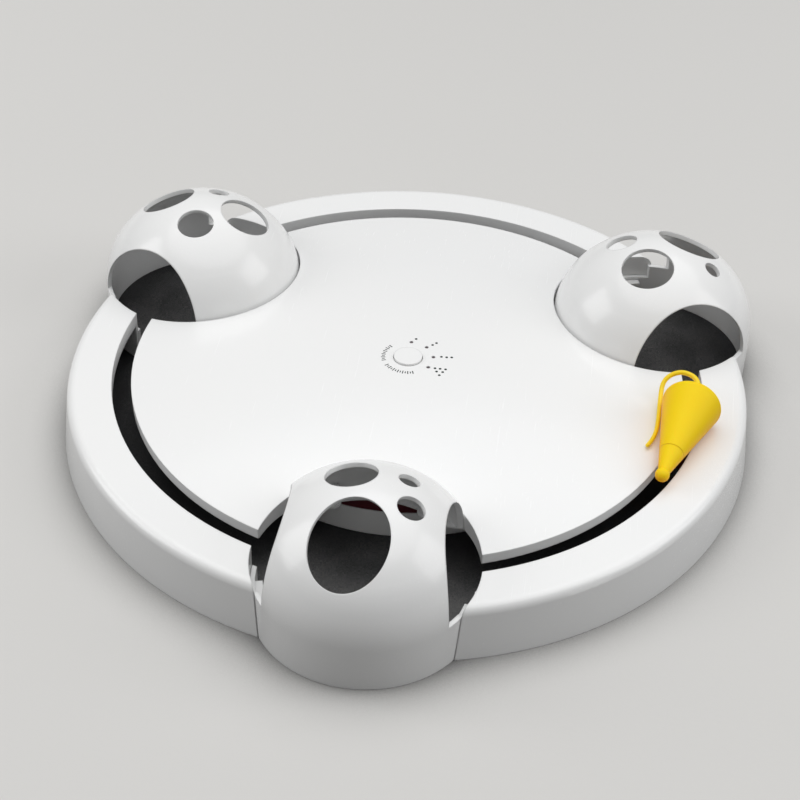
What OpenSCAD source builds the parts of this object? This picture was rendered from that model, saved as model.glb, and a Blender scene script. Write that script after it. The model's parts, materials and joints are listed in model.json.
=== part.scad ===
// Turntable toy. A toy mouse runs round a slot between a crowned deck and an outer ring, and through
// three domed tunnels. Millimetres, +Z up, origin on the floor on the turntable axis.

/* [Ring] */
// Outer radius of the ring where it meets the floor
ring_r = 190; // [184:0.5:200]
// Width of the ring where it meets the floor
ring_w = 27.4; // [26:0.2:30]
// Height of the ring's top face
ring_h = 31; // [30:0.5:34]
// How far the outer wall leans in between the floor and the top
ring_lean = 3.5; // [1:0.5:6]
// Rounding between the outer wall and the top
ring_edge = 5; // [3:0.5:7]
// Wall of the ring segments
ring_wall = 2.2; // [1.6:0.1:3]
// Depth of the inner skirt below the ring's top
ring_skirt = 8; // [5:0.5:9]
// Width of the tongues that join a ring segment to a dome
tongue_w = 12; // [8:0.5:16]
// Height of the tongues
tongue_h = 8; // [5:0.5:10]

/* [Deck] */
// Width of the slot between the deck and the ring
slot_w = 10.6; // [10:0.2:13]
// Height of the deck's rim above the ring's top
deck_step = 0.7; // [0:0.1:2]
// Rise of the deck from its rim to its middle
deck_crown = 8.3; // [6:0.1:10]
// Wall of the deck
deck_wall = 2.5; // [2:0.1:3]
// Depth of the lip round the deck
deck_lip = 6; // [5:0.5:7]

/* [Domes] */
// How far the middle of a dome lies outside the deck's rim
dome_out = 1; // [-1:0.5:3]
// Outer radius of a dome at the floor
dome_r = 57; // [55:0.5:59]
// Height of a dome
dome_h = 76.4; // [74:0.2:82]
// Rise of a dome's crown above its shoulder's curve
dome_rise = 5.4; // [4:0.2:8]
// Radius of the shoulder's curve
dome_shoulder_r = 45; // [42:0.5:47]
// Wall of a dome
dome_wall = 2.5; // [2:0.1:3]
// Half width of a doorway
door_r = 35; // [33:0.5:36]
// Depth of a doorway's crown below a dome's top
door_drop = 13.9; // [13:0.1:15]
// Clearance between a dome and the deck or ring round it
dome_gap = 0.3; // [0.2:0.05:0.6]

/* [Hub] */
// How far the tub's wall lies inside the deck's rim
tub_in = 50.5; // [48:0.5:53]
// Wall of the tub
tub_wall = 2.4; // [2:0.1:3]
// Radius of a rubber pad under the tub
foot_r = 6; // [4:0.5:8]

/* [Rotor] */
// Width from the tub's wall to the bearing that the rotor runs on
rotor_w = 17.5; // [17:0.1:18]
// Running clearance of the rotor on its bearing
bearing_gap = 0.08; // [0.04:0.01:0.1]
// Running gap above and below the rotor
run_gap = 0.3; // [0.2:0.05:0.5]
// Thickness of the rotor
rotor_t = 6; // [5.6:0.1:6.4]
// Width of the arm
arm_w = 16; // [13:0.5:18]
// Thickness of the arm
arm_t = 2.5; // [2:0.1:2.8]
// Radius of the post that carries the mouse
post_r = 2.6; // [2:0.1:3]
// Fit between fixed pins and their holes
pin_gap = 0.05; // [0.02:0.01:0.1]

/* [Gears] */
// Depth of the ring gear's pitch circle inside the bearing
gear_in = 4; // [3.6:0.1:4.6]
// Clearance between the motor's can and the idler's pinion
motor_gap = 1.2; // [0.8:0.1:2]
// Backlash of the gears
backlash = 0.35; // [0.3:0.05:0.5]
// Radius of the idler's axle
axle_r = 2; // [1.5:0.1:2.5]
// Radius of the motor's can
motor_r = 12; // [10:0.5:13]
// Length of the motor's can
motor_l = 17; // [14:0.5:20]

/* [Mouse] */
// Radius of the mouse's back end
mouse_r = 16.9; // [15:0.1:19]
// Rounding round the back end
mouse_round = 3.6; // [2.4:0.1:5]
// Length from the back end to the nose ball's centre
mouse_l = 60.6; // [54:0.2:66]
// Radius of the nose ball
nose_r = 3.8; // [3:0.1:4.5]
// Gap between the mouse's sole and the deck's rim
mouse_gap = 1.9; // [1.6:0.1:2.2]
// Height of the back end's centre above the sole
mouse_sit = 8.8; // [8:0.1:10.8]
// Wall of the mouse
mouse_wall = 1.8; // [1.4:0.1:2.4]
// Thickness of the tail
tail_d = 2.5; // [2:0.1:3]

/* [Controls] */
// Radius of the power button
button_r = 7.85; // [7:0.05:8.5]
// Height of the button above the deck
button_rise = 1; // [0.8:0.1:1.6]
// Travel of the button
button_travel = 0.8; // [0.5:0.05:0.9]
// Clearance round the button
button_gap = 0.3; // [0.2:0.05:0.5]
// Radius of the indicator lights
led_r = 1; // [0.8:0.05:1.3]
// Circle that the indicator lights lie on
led_ring_r = 14; // [13.5:0.1:15]

/* [Power] */
// Radius of a battery
cell_r = 7.1; // [6.8:0.05:7.2]
// Length of a battery with its nub
cell_l = 50.5; // [49:0.5:51]
// Clearance round the battery door
door_gap = 0.3; // [0.2:0.05:0.5]

/* [Hidden] */
$fn = 96;
over = 1;

// Ring
ring_in_r = ring_r - ring_w;
deck_r = ring_in_r - slot_w;
slot_r = deck_r + slot_w / 2;
lean_a = atan(ring_lean / ring_h);
edge_c = [ring_r - (ring_edge + (ring_h - ring_edge) * sin(lean_a)) / cos(lean_a), ring_h - ring_edge];
tongue_z = 8;
tongue_a = 75;
tongue_fit = 0.3;
tongue_reach = 4;

// Deck
rim_z = ring_h + deck_step;
top_z = rim_z + deck_crown;
crown_r = (deck_r * deck_r + deck_crown * deck_crown) / (2 * deck_crown);
crown_z = top_z - crown_r;
crown_bands = 16;
seat_z = rim_z - deck_lip;
notch_r = dome_r + dome_gap;
shelf_t = 1.5;
shelf_in = 3.5;
shelf_back = 1;
notch_wall_z = seat_z - shelf_t / 2;
notch_z = seat_z - shelf_t * 3 / 4;

// Domes: the front one, the right one and the left one, each with its own holes. A hole is its bearing
// from the outward direction, its rise above the level, its half width as a share of the dome's radius and
// its height for its width.
dome_ring_r = deck_r + dome_out;
dome_az = [-90, 30, 150];
dome_holes = [
    [[-9.2, 60, 0.343, 1.24], [-147, 71.5, 0.232, 1], [132, 64.5, 0.098, 1], [80, 67, 0.128, 1]],
    [[19, 62.5, 0.323, 1], [-142, 72.5, 0.256, 1], [125, 65, 0.158, 1], [-38, 58, 0.088, 1]],
    [[1, 63.5, 0.277, 1], [123, 73.5, 0.181, 1], [-145, 62.5, 0.263, 1], [-78, 68, 0.105, 1]]
];
hole_z = 19;
door_z = dome_h - door_drop - door_r;
door_x = -0.5;
sill_l = 9.5;
sill_t = 2;
sill_drop = 5;
sill_x = door_x + door_r - sill_l;
sill_z = tongue_z + tongue_h + sill_t;
shoulder_x = dome_r - dome_shoulder_r;
shoulder_z = dome_h - dome_rise - dome_shoulder_r;
cap_z = ((dome_h - dome_shoulder_r) ^ 2 - shoulder_x ^ 2 - shoulder_z ^ 2) / (2 * dome_rise);
cap_r = dome_h - cap_z;
lug_in = 3;
lug_r = dome_r - dome_wall - lug_in;
lug_a = [152, 208];
lug_h = 10;
boss_r = 3.6;
boss_edge = 1;

// Screws
screw_r = 1.5;
screw_head_r = 2.8;
screw_head_h = 1.4;
screw_fit = 0.2;
pilot_fit = 0.03;
pilot_roof = 2;
tip_room = 1;
head_sink = 0.2;

// Rotor
tub_r = deck_r - tub_in;
bearing_r = tub_r - rotor_w;
rotor_top = seat_z - shelf_t - screw_head_h - run_gap;
rotor_z = rotor_top - rotor_t;
tub_h = rotor_z - run_gap;
rotor_r = tub_r - run_gap;
collar_z = rotor_z + rotor_t / 2 + 2 * run_gap;
gear_z = rotor_z + run_gap;
gear_h = collar_z - run_gap - gear_z;
arm_az = -14;
arm_drop = 0.8;
arm_z = rotor_top - arm_t - arm_drop;
arm_seat = 4;
arm_in_r = bearing_r + arm_seat;
arm_screw_in = 4.6;
arm_screw_r = arm_in_r + arm_screw_in;
skirt_gap = 0.6;
skirt_r = arm_screw_r + screw_head_r + skirt_gap;
arm_screw_y = arm_w * 0.3;
arm_rib = 3;
arm_boss_r = 4.5;
post_collar_r = 3.4;
post_top = 7;
lap_gap = 0.3;

// Gears
pressure_a = 20;
flank_steps = 3;
root_depth = 1.2;
pinion_root = 1.1;
pinion_tip = 0.9;
ring_tip = 0.7;
ring_root = 1.15;
ring_teeth = 80;
pinion_teeth = 12;
wheel_teeth = 44;
motor_teeth = 10;
gear_r = bearing_r - gear_in;
gear_m = 2 * gear_r / ring_teeth;
pinion_r = gear_m * pinion_teeth / 2;
drive_span = pinion_r + pinion_tip * gear_m + motor_gap + motor_r;
wheel_m = 2 * drive_span / (wheel_teeth + motor_teeth);
wheel_r = wheel_m * wheel_teeth / 2;
drive_r = wheel_m * motor_teeth / 2;
idler_y = gear_r - pinion_r;
motor_y = idler_y - drive_span;
wheel_lift = 1.4;
wheel_z = tub_wall + wheel_lift;
wheel_h = 3.6;
idler_hub_r = 6;
wheel_room = 1.5;
axle_z = 1;
axle_hold = 4;
axle_boss = 2;
shaft_r = 1;
shaft_l = 4.5;
shaft_room = 1;
bracket_lift = 1;
bracket_z = wheel_z + wheel_h + bracket_lift;
bracket_t = 1.8;
motor_z = bracket_z + bracket_t;
nose_boss_r = 4;
bracket_out = 3;
bracket_x = motor_r + bracket_out;
bracket_edge = 4;
bracket_in = 1;
bracket_post_r = 3.2;
bracket_screw_l = 4;

// Tub
core_room = 2.1;
core_r = gear_r - gear_m * ring_tip - core_room;
core_wall = 2.4;
core_h = collar_z;
tub_boss_r = 4;
// Places of the screws through the tub's floor, as shares of the core's radius
hub_spots = [[0.81, 0.157], [-0.81, 0.157], [0.627, -0.68], [-0.627, -0.68]];
hub_screws = [for (p = hub_spots) core_r * p];
foot_in = 12;
foot_ring_r = tub_r - foot_in;
foot_t = 1.2;
foot_fit = 0.1;

// Battery box
cell_room = 0.8;
cell_pitch = 2 * cell_r + cell_room;
cell_n = 3;
nub_r = 2.7;
nub_l = 1.3;
contact_t = 0.5;
box_wall = 1.8;
box_in = 4.5;
box_x = cell_l / 2 + contact_t;
box_w = cell_n * cell_pitch / 2;
box_y = box_w + box_wall + box_in - sqrt((core_r - core_wall) ^ 2 - (box_x + box_wall) ^ 2);
cell_z = tub_wall + door_gap + cell_r;
box_h = cell_z + cell_r + cell_room / 2;
hinge_sink = 0.1;
hinge_step = 0.3;
hinge_r = tub_wall / 2 - hinge_sink;
hinge_pin_r = hinge_r - hinge_step;
hinge_out = 2.4;
hinge_y = box_y - box_w - hinge_out;
hinge_z = tub_wall / 2;
hinge_x = 16;
hinge_w = 6;
hinge_pin = 1.6;

// Controls
led_a = [90, 50, 10, -30];
board_drop = 12;
board_z = top_z - board_drop;
board_t = 1.6;
board_x = 22;
board_y = 18;
board_posts = [[18, 14], [-18, 14], [-18, -14], [18, -14]];
post_boss_r = 3;
switch_w = 6;
switch_h = 3;
plunger_h = 0.4;
flange_w = 1.6;
flange_r = button_r + flange_w;
flange_t = 1.5;
stem_r = 1.6;
led_rim = 0.5;
led_body_r = led_r + led_rim;

// Mouse
sole_z = rim_z + mouse_gap;
sole_t = 1.6;
back_z = sole_z + mouse_sit;
nose_lift = 1.6;
nose_z = sole_z + nose_r + nose_lift;
mouse_tilt = asin((back_z - nose_z) / mouse_l);
mouse_back = 22;
mouse_in = 1.6;
snout_s = 43.5;
neck_step = 0.8;
neck_back = 2;
neck_r = nose_r - neck_step;
neck_s = mouse_l - neck_back;
taper = (mouse_r - neck_r) / neck_s;
taper_a = atan(taper);
round_c = mouse_r - taper * mouse_round - mouse_round / cos(taper_a);
spigot_l = 4;
spigot_fit = 0.3;
mouse_boss_r = 4.5;
// The tail's route: ahead of the post, inward of the slot and above the sole. Its loop is given inward of
// the mouse's back radius.
tail_grip = 0.9;
tail_lead = 3;
tail_rise = 0.3;
tail_loop = [[-28.6, -15, 10.6], [-33, -14.5, 12.2], [-36.6, -11.9, 13], [-38.2, -7.9, 13.4],
    [-38.2, -3.5, 13.2], [-36.6, 0.5, 11.8], [-34.2, 3.1, 9.8], [-31, 4.1, 7.4], [-26.6, 3.5, 4.8],
    [-20, 2.1, 2.8], [-13, 0.5, 1.7], [-6, -0.9, 1.3], [1, -1.9, 1.2], [8, -1.9, 1.2], [15, -0.7, 1.2]];
tail_route = concat([[tail_grip - mouse_back, mouse_in, mouse_sit],
    [-mouse_back - tail_lead, mouse_in, mouse_sit + tail_rise]], [for (p = tail_loop) p + [0, mouse_r, 0]]);
tail_sides = 8;
tail_fit = 0.2;
spigot_r = back_z - snout_s * sin(mouse_tilt) - sole_z - sole_t - spigot_fit;

// Height of the crown at a distance from its axis, inset by a wall
function crown_height(r, inset) = crown_z + sqrt((crown_r - inset) ^ 2 - r * r);

// Involute of an angle, in degrees
function inv(a) = tan(a) * 180 / PI - a;

// Half the angle that a tooth fills at radius r
function tooth_half(r, pitch_r, half) =
    half + inv(pressure_a) - inv(acos(min(1, pitch_r * cos(pressure_a) / r)));

// Outline of a gear between its root and tip circles, each tooth thinned by slack at the pitch circle
function gear_points(teeth, module_size, root_r, tip_r, slack, steps) =
    let (pitch_r = module_size * teeth / 2)
    let (base_r = pitch_r * cos(pressure_a))
    let (start_r = max(root_r, base_r))
    let (half = 90 / teeth - slack / pitch_r * 90 / PI)
    let (curve = [for (j = [0 : steps]) start_r + (tip_r - start_r) * j / steps])
    let (rise = root_r < base_r ? concat([root_r], curve) : curve)
    let (last = len(rise) - 1)
    [for (k = [0 : teeth - 1], side = [-1, 1], j = [0 : last])
        let (r = rise[side < 0 ? j : last - j])
        let (a = k * 360 / teeth + side * tooth_half(max(r, base_r), pitch_r, half))
        r * [cos(a), sin(a)]];

// Unit vector along v
function unit(v) = v / norm(v);

// Direction of a route at point i
function heading(route, i) = unit(route[min(i + 1, len(route) - 1)] - route[max(i - 1, 0)]);

// Ring of points round point i of a route
function tube_ring(route, i, r, sides) =
    let (along = heading(route, i))
    let (across = unit(cross(along, [0, 0.1, 1])))
    let (up = cross(across, along))
    [for (k = [0 : sides - 1]) route[i] + r * (cos(360 * k / sides) * across + sin(360 * k / sides) * up)];

// Solid tube along a route
module tube(route, r, sides) {
    last = len(route) - 1;
    rings = [for (i = [0 : last]) each tube_ring(route, i, r, sides)];
    sleeve = [for (i = [0 : last - 1], k = [0 : sides - 1])
        let (a = i * sides + k)
        let (b = i * sides + (k + 1) % sides)
        each [[a, b, a + sides], [b, b + sides, a + sides]]];
    front = [for (k = [1 : sides - 2]) [0, k + 1, k]];
    back = [for (k = [1 : sides - 2]) [last * sides, last * sides + k, last * sides + k + 1]];
    polyhedron(rings, concat(sleeve, front, back));
}

module at_dome(i) {
    rotate(dome_az[i]) translate([dome_ring_r, 0, 0]) children();
}

module at_arm() {
    rotate(arm_az) children();
}

// Forward is +X here, away from the turntable axis is +Y
module at_mouse() {
    at_arm() translate([slot_r, 0, 0]) rotate(-90) children();
}

// The mouse's own axis, from the middle of its back end (0) towards its nose
module along_mouse() {
    at_mouse() translate([-mouse_back, -mouse_in, back_z]) rotate([0, 90 + mouse_tilt, 0]) children();
}

// Screw with its head below its seat and its shank up
module screw(seat, length) {
    color("silver") {
        translate([0, 0, seat - screw_head_h]) cylinder(r = screw_head_r, h = screw_head_h);
        translate([0, 0, seat]) cylinder(r = screw_r, h = length);
    }
}

// Ring

module ring_outline() {
    polygon([[ring_in_r, 0], [ring_r, 0], edge_c + ring_edge * [cos(lean_a), sin(lean_a)], edge_c,
        [edge_c[0], ring_h], [ring_in_r, ring_h]]);
    translate(edge_c) circle(r = ring_edge);
}

module ring_hollow() {
    wall = ring_wall / cos(lean_a);
    inner = ring_edge;
    ceiling = ring_h - ring_wall;
    function face(z) = ring_r - ring_lean * z / ring_h - wall;
    polygon([[ring_in_r + ring_wall, -over], [face(-over), -over], [face(ceiling - inner), ceiling - inner],
        [face(ceiling) - inner, ceiling], [ring_in_r + ring_wall, ceiling]]);
    translate([ring_in_r - over, -over]) square([ring_wall + 2 * over, ring_h - ring_skirt + over]);
}

module ring_arc(i) {
    rotate(dome_az[i]) rotate_extrude(angle = 120) children();
}

// Tongue at a dome, on its left or right flank
module tongue(side, fit) {
    rotate(side * tongue_a)
        translate([dome_r - dome_wall - tongue_reach, -tongue_w / 2 - fit, tongue_z - fit])
        cube([dome_wall + tongue_reach + dome_gap + ring_wall / 2, tongue_w + 2 * fit, tongue_h + 2 * fit]);
}

module ring_segment(i) {
    ends = [[i, 1], [(i + 1) % 3, -1]];
    color("white") {
        difference() {
            union() {
                ring_arc(i) difference() {
                    ring_outline();
                    ring_hollow();
                }
                intersection() {
                    ring_arc(i) ring_outline();
                    for (e = ends) at_dome(e[0])
                        translate([0, 0, -over]) cylinder(r = notch_r + ring_wall, h = ring_h + 2 * over);
                }
            }
            for (e = ends) at_dome(e[0])
                translate([0, 0, -over]) cylinder(r = notch_r, h = ring_h + 2 * over);
        }
        for (e = ends) at_dome(e[0]) tongue(e[1], 0);
    }
}

// Deck

// Solid under the deck's crown, out to radius r and down to z, inset by a wall
module crown_disc(r, z, inset) {
    reach = [for (k = [0 : crown_bands]) r * k / crown_bands];
    rotate_extrude() polygon(concat([[r, z], [0, z]], [for (x = reach) [x, crown_height(x, inset)]]));
}

module tube_wall(r, wall, z) {
    translate([0, 0, z]) difference() {
        cylinder(r = r, h = top_z - z);
        translate([0, 0, -over]) cylinder(r = r - wall, h = top_z - z + 2 * over);
    }
}

module deck_shelf() {
    difference() {
        intersection() {
            translate([0, 0, seat_z - shelf_t]) cylinder(r = notch_r + deck_wall / 2, h = shelf_t);
            translate([-2 * dome_r, -dome_r, seat_z - shelf_t])
                cube([2 * dome_r + door_x - door_r - shelf_back, 2 * dome_r, shelf_t]);
        }
        translate([0, 0, seat_z - shelf_t - over])
            cylinder(r = dome_r - dome_wall - shelf_in, h = shelf_t + 2 * over);
    }
    for (a = lug_a) rotate(a) translate([lug_r, 0, seat_z - shelf_t])
        cylinder(r = boss_r + boss_edge, h = shelf_t);
}

module deck_walls() {
    tube_wall(bearing_r, deck_wall, collar_z);
    tube_wall(skirt_r + deck_wall, deck_wall, rotor_top + run_gap);
    for (p = hub_screws) translate([p[0], p[1], collar_z])
        cylinder(r = tub_boss_r, h = top_z - collar_z);
    for (p = board_posts) translate([p[0], p[1], board_z + board_t])
        cylinder(r = post_boss_r, h = top_z - board_z - board_t);
    translate([0, idler_y, collar_z]) cylinder(r = axle_r + axle_boss, h = top_z - collar_z);
    for (i = [0 : 2]) at_dome(i) translate([0, 0, notch_wall_z])
        cylinder(r = notch_r + deck_wall, h = top_z - notch_wall_z);
}

module deck() {
    color("white") difference() {
        union() {
            difference() {
                union() {
                    difference() {
                        crown_disc(deck_r, seat_z, 0);
                        crown_disc(deck_r - deck_wall, seat_z - over, deck_wall);
                    }
                    intersection() {
                        crown_disc(deck_r - deck_wall / 2, collar_z - over, deck_wall / 2);
                        deck_walls();
                    }
                }
                for (i = [0 : 2]) at_dome(i) translate([0, 0, notch_z])
                    cylinder(r = notch_r, h = top_z - notch_z + over);
            }
            for (i = [0 : 2]) at_dome(i) deck_shelf();
        }
        translate([0, 0, board_z]) cylinder(r = button_r + button_gap, h = top_z - board_z + over);
        for (a = led_a) rotate(a) translate([led_ring_r, 0, board_z])
            cylinder(r = led_r + pin_gap, h = top_z - board_z + over);
        for (p = hub_screws) translate([p[0], p[1], collar_z - over])
            cylinder(r = screw_r + pilot_fit, h = lug_h + over);
        for (p = board_posts) translate([p[0], p[1], board_z])
            cylinder(r = screw_r + pilot_fit, h = lug_h / 2);
        translate([0, idler_y, collar_z - over]) cylinder(r = axle_r + pin_gap, h = axle_hold + over);
        for (i = [0 : 2], a = lug_a) at_dome(i) rotate(a)
            translate([lug_r, 0, seat_z - shelf_t - over])
            cylinder(r = screw_r + screw_fit, h = shelf_t + 2 * over);
    }
}

// Domes

// Half section of a dome, inset by a wall
module dome_outline(inset) {
    turn = [shoulder_x, shoulder_z - cap_z];
    reach = 3 * cap_r * unit(turn);
    intersection() {
        union() {
            square([dome_r - inset, shoulder_z]);
            translate([shoulder_x, shoulder_z]) circle(r = dome_shoulder_r - inset);
            intersection() {
                translate([0, cap_z]) circle(r = cap_r - inset);
                translate([0, cap_z]) polygon([[0, 0], reach, [0, 3 * cap_r]]);
            }
        }
        square([dome_r, dome_h]);
    }
}

// What a doorway takes away: an arch, down to the floor inside the slot, to a low sill across the ring and
// to just under the ring's level at its outer edge
module doorway() {
    intersection() {
        union() {
            translate([door_x, 0, door_z]) rotate([90, 0, 0])
                cylinder(r = door_r, h = 3 * dome_r, center = true);
            translate([door_x - door_r, -1.5 * dome_r, -over]) cube([2 * door_r, 3 * dome_r, door_z + over]);
        }
        union() {
            translate([-dome_ring_r, 0, -over]) cylinder(r = ring_in_r, h = dome_h);
            translate([-dome_r, -1.5 * dome_r, sill_z]) cube([dome_r + sill_x, 3 * dome_r, dome_h]);
            translate([-dome_r, -1.5 * dome_r, ring_h - sill_drop]) cube([2 * dome_r, 3 * dome_r, dome_h]);
        }
    }
}

module dome(i) {
    color("white") at_dome(i) difference() {
        union() {
            difference() {
                rotate_extrude() dome_outline(0);
                rotate_extrude() dome_outline(dome_wall);
                translate([0, 0, -over]) cylinder(r = dome_r - dome_wall, h = 2 * over);
            }
            for (a = lug_a) rotate(a) translate([lug_r, 0, seat_z]) cylinder(r = boss_r, h = lug_h);
        }
        translate([-dome_ring_r, 0, -over]) cylinder(r = ring_in_r, h = seat_z + over);
        doorway();
        for (h = dome_holes[i]) translate([0, 0, hole_z]) rotate([0, 90 - h[1], h[0]])
            scale([h[3], 1, 1]) cylinder(r = h[2] * dome_r, h = dome_h);
        for (side = [-1, 1]) tongue(side, tongue_fit);
        for (a = lug_a) rotate(a) translate([lug_r, 0, seat_z - over])
            cylinder(r = screw_r + pilot_fit, h = lug_h - pilot_roof + over);
    }
}

module dome_screw(k) {
    at_dome(floor(k / 2)) rotate(lug_a[k % 2]) translate([lug_r, 0, 0])
        screw(seat_z - shelf_t, shelf_t + lug_h - pilot_roof - tip_room);
}

// Hub

module hub_tub() {
    color("white") difference() {
        union() {
            cylinder(r = tub_r, h = tub_wall);
            difference() {
                cylinder(r = tub_r, h = tub_h);
                translate([0, 0, -over]) cylinder(r = tub_r - tub_wall, h = tub_h + 2 * over);
            }
            difference() {
                cylinder(r = core_r, h = core_h);
                translate([0, 0, -over]) cylinder(r = core_r - core_wall, h = core_h + 2 * over);
                translate([0, idler_y, tub_wall]) cylinder(r = wheel_r + wheel_m + wheel_room, h = core_h);
            }
            translate([-box_x - box_wall, box_y - box_w - box_wall, 0])
                cube([2 * (box_x + box_wall), 2 * (box_w + box_wall), box_h + box_wall]);
            for (p = hub_screws) translate(p) cylinder(r = tub_boss_r, h = core_h);
            for (s = [-1, 1]) translate([s * bracket_x, motor_y, 0])
                cylinder(r = bracket_post_r, h = bracket_z);
            translate([0, idler_y, 0]) cylinder(r = axle_r + axle_boss, h = wheel_z - run_gap);
        }
        translate([-box_x, box_y - box_w, -over]) cube([2 * box_x, 2 * box_w, box_h + over]);
        for (s = [-1, 1]) hinge_slot(s);
        for (p = hub_screws) translate([p[0], p[1], -over]) {
            cylinder(r = screw_head_r + screw_fit, h = screw_head_h + head_sink + over);
            cylinder(r = screw_r + screw_fit, h = core_h + 2 * over);
        }
        for (s = [-1, 1]) translate([s * bracket_x, motor_y, tub_wall])
            cylinder(r = screw_r + pilot_fit, h = bracket_z);
        translate([0, idler_y, axle_z]) cylinder(r = axle_r + pin_gap, h = core_h);
        for (k = [1 : 4]) at_foot(k) translate([0, 0, -over])
            cylinder(r = foot_r + foot_fit, h = foot_t + over);
    }
}

// Slot in the tub's floor for one of the door's hinge arms, with the bores for its pin
module hinge_slot(s) {
    translate([s * hinge_x - hinge_w / 2 - door_gap, hinge_y - hinge_r - door_gap, -over])
        cube([hinge_w + 2 * door_gap, box_y - box_w - hinge_y + hinge_r + door_gap + over, tub_wall + over]);
    translate([s * hinge_x, hinge_y, hinge_z]) rotate([0, 90, 0])
        cylinder(r = hinge_pin_r + pin_gap, h = hinge_w + 2 * (hinge_pin + door_gap), center = true);
}

module battery_door() {
    plate_x = box_x - door_gap;
    plate_w = box_w - door_gap;
    color("white") {
        translate([-plate_x, box_y - plate_w, 0]) cube([2 * plate_x, 2 * plate_w, tub_wall]);
        for (s = [-1, 1]) translate([s * hinge_x, hinge_y, hinge_z]) {
            rotate([0, 90, 0]) cylinder(r = hinge_r, h = hinge_w, center = true);
            rotate([0, 90, 0]) cylinder(r = hinge_pin_r, h = hinge_w + 2 * hinge_pin, center = true);
            translate([-hinge_w / 2, 0, -hinge_r])
                cube([hinge_w, box_y - plate_w - hinge_y + over, 2 * hinge_r]);
        }
    }
}

module at_foot(k) {
    rotate(90 * k - 45) translate([foot_ring_r, 0, 0]) children();
}

module foot(k) {
    color("dimgray") at_foot(k) cylinder(r = foot_r, h = foot_t);
}

module hub_screw(k) {
    seat = screw_head_h + head_sink;
    translate(hub_screws[k]) screw(seat, collar_z - seat + lug_h - tip_room);
}

module battery(k) {
    turn = k == 1 ? 180 : 0;
    translate([0, box_y + (k - 1) * cell_pitch, cell_z]) rotate(turn) rotate([0, 90, 0]) {
        color("olivedrab") translate([0, 0, -cell_l / 2]) cylinder(r = cell_r, h = cell_l - nub_l);
        color("silver") translate([0, 0, cell_l / 2 - nub_l]) cylinder(r = nub_r, h = nub_l);
    }
}

module contact(side) {
    inner = side > 0 ? cell_l / 2 : -cell_l / 2 - contact_t;
    color("silver") translate([inner, box_y - box_w + cell_room, cell_z - cell_r])
        cube([contact_t, 2 * (box_w - cell_room), 2 * cell_r]);
}

// Drive

module motor() {
    color("silver") translate([0, motor_y, 0]) difference() {
        union() {
            translate([0, 0, motor_z]) cylinder(r = motor_r, h = motor_l);
            translate([0, 0, bracket_z]) cylinder(r = nose_boss_r, h = bracket_t);
        }
        translate([0, 0, bracket_z - over])
            cylinder(r = shaft_r + pin_gap, h = over + bracket_t + shaft_l + shaft_room);
    }
}

module motor_bracket() {
    reach = bracket_x + bracket_edge;
    depth = motor_r - bracket_in;
    color("gainsboro") difference() {
        translate([-reach, motor_y - depth, bracket_z]) cube([2 * reach, 2 * depth, bracket_t]);
        translate([0, motor_y, bracket_z - over])
            cylinder(r = nose_boss_r + pin_gap, h = bracket_t + 2 * over);
        for (s = [-1, 1]) translate([s * bracket_x, motor_y, bracket_z - over])
            cylinder(r = screw_r + screw_fit, h = bracket_t + 2 * over);
    }
}

module bracket_screw(s) {
    translate([s * bracket_x, motor_y, 0]) mirror([0, 0, 1])
        screw(-bracket_z - bracket_t, bracket_t + bracket_screw_l);
}

module motor_pinion() {
    root_r = drive_r - root_depth * wheel_m;
    tip_r = drive_r + wheel_m;
    color("ivory") translate([0, motor_y, wheel_z]) {
        linear_extrude(wheel_h) rotate(90 + 180 / motor_teeth)
            polygon(gear_points(motor_teeth, wheel_m, root_r, tip_r, backlash / 2, flank_steps));
        cylinder(r = shaft_r, h = motor_z + shaft_l - wheel_z);
    }
}

module idler_gear() {
    root_r = wheel_r - root_depth * wheel_m;
    tip_r = wheel_r + wheel_m;
    small_root_r = pinion_r - pinion_root * gear_m;
    small_tip_r = pinion_r + pinion_tip * gear_m;
    color("ivory") translate([0, idler_y, 0]) difference() {
        union() {
            translate([0, 0, wheel_z]) linear_extrude(wheel_h) rotate(-90)
                polygon(gear_points(wheel_teeth, wheel_m, root_r, tip_r, backlash / 2, flank_steps));
            translate([0, 0, wheel_z]) cylinder(r = idler_hub_r, h = gear_z - wheel_z);
            translate([0, 0, gear_z]) linear_extrude(gear_h) rotate(90)
                polygon(gear_points(pinion_teeth, gear_m, small_root_r, small_tip_r, backlash / 2,
                    flank_steps));
        }
        translate([0, 0, wheel_z - over]) cylinder(r = axle_r + pin_gap, h = core_h);
    }
}

module idler_axle() {
    color("silver") translate([0, idler_y, axle_z])
        cylinder(r = axle_r, h = collar_z + axle_hold - run_gap - axle_z);
}

// Rotor

module rotor_ring() {
    root_r = gear_r - gear_m * ring_tip;
    tip_r = gear_r + gear_m * ring_root;
    color("maroon") difference() {
        translate([0, 0, rotor_z]) cylinder(r = rotor_r, h = rotor_t);
        translate([0, 0, rotor_z - over]) linear_extrude(rotor_t + 2 * over) rotate(90)
            polygon(gear_points(ring_teeth, gear_m, root_r, tip_r, -backlash / 2, 1));
        translate([0, 0, gear_z + gear_h]) cylinder(r = bearing_r + bearing_gap, h = rotor_t);
        at_arm() {
            translate([arm_in_r, -arm_w / 2 - lap_gap, arm_z]) cube([rotor_r, arm_w + 2 * lap_gap, rotor_t]);
            for (side = [-1, 1]) at_arm_screw(side) translate([0, 0, rotor_z - over])
                cylinder(r = screw_r + pilot_fit, h = rotor_t + 2 * over);
        }
    }
}

// Place of a screw on the arm
module at_arm_screw(side) {
    translate([arm_screw_r, side * arm_screw_y, 0]) children();
}

module arm_screw(side) {
    at_arm() at_arm_screw(side) mirror([0, 0, 1])
        screw(-arm_z - arm_t, arm_t + arm_z - rotor_z - tip_room / 2);
}

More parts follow.
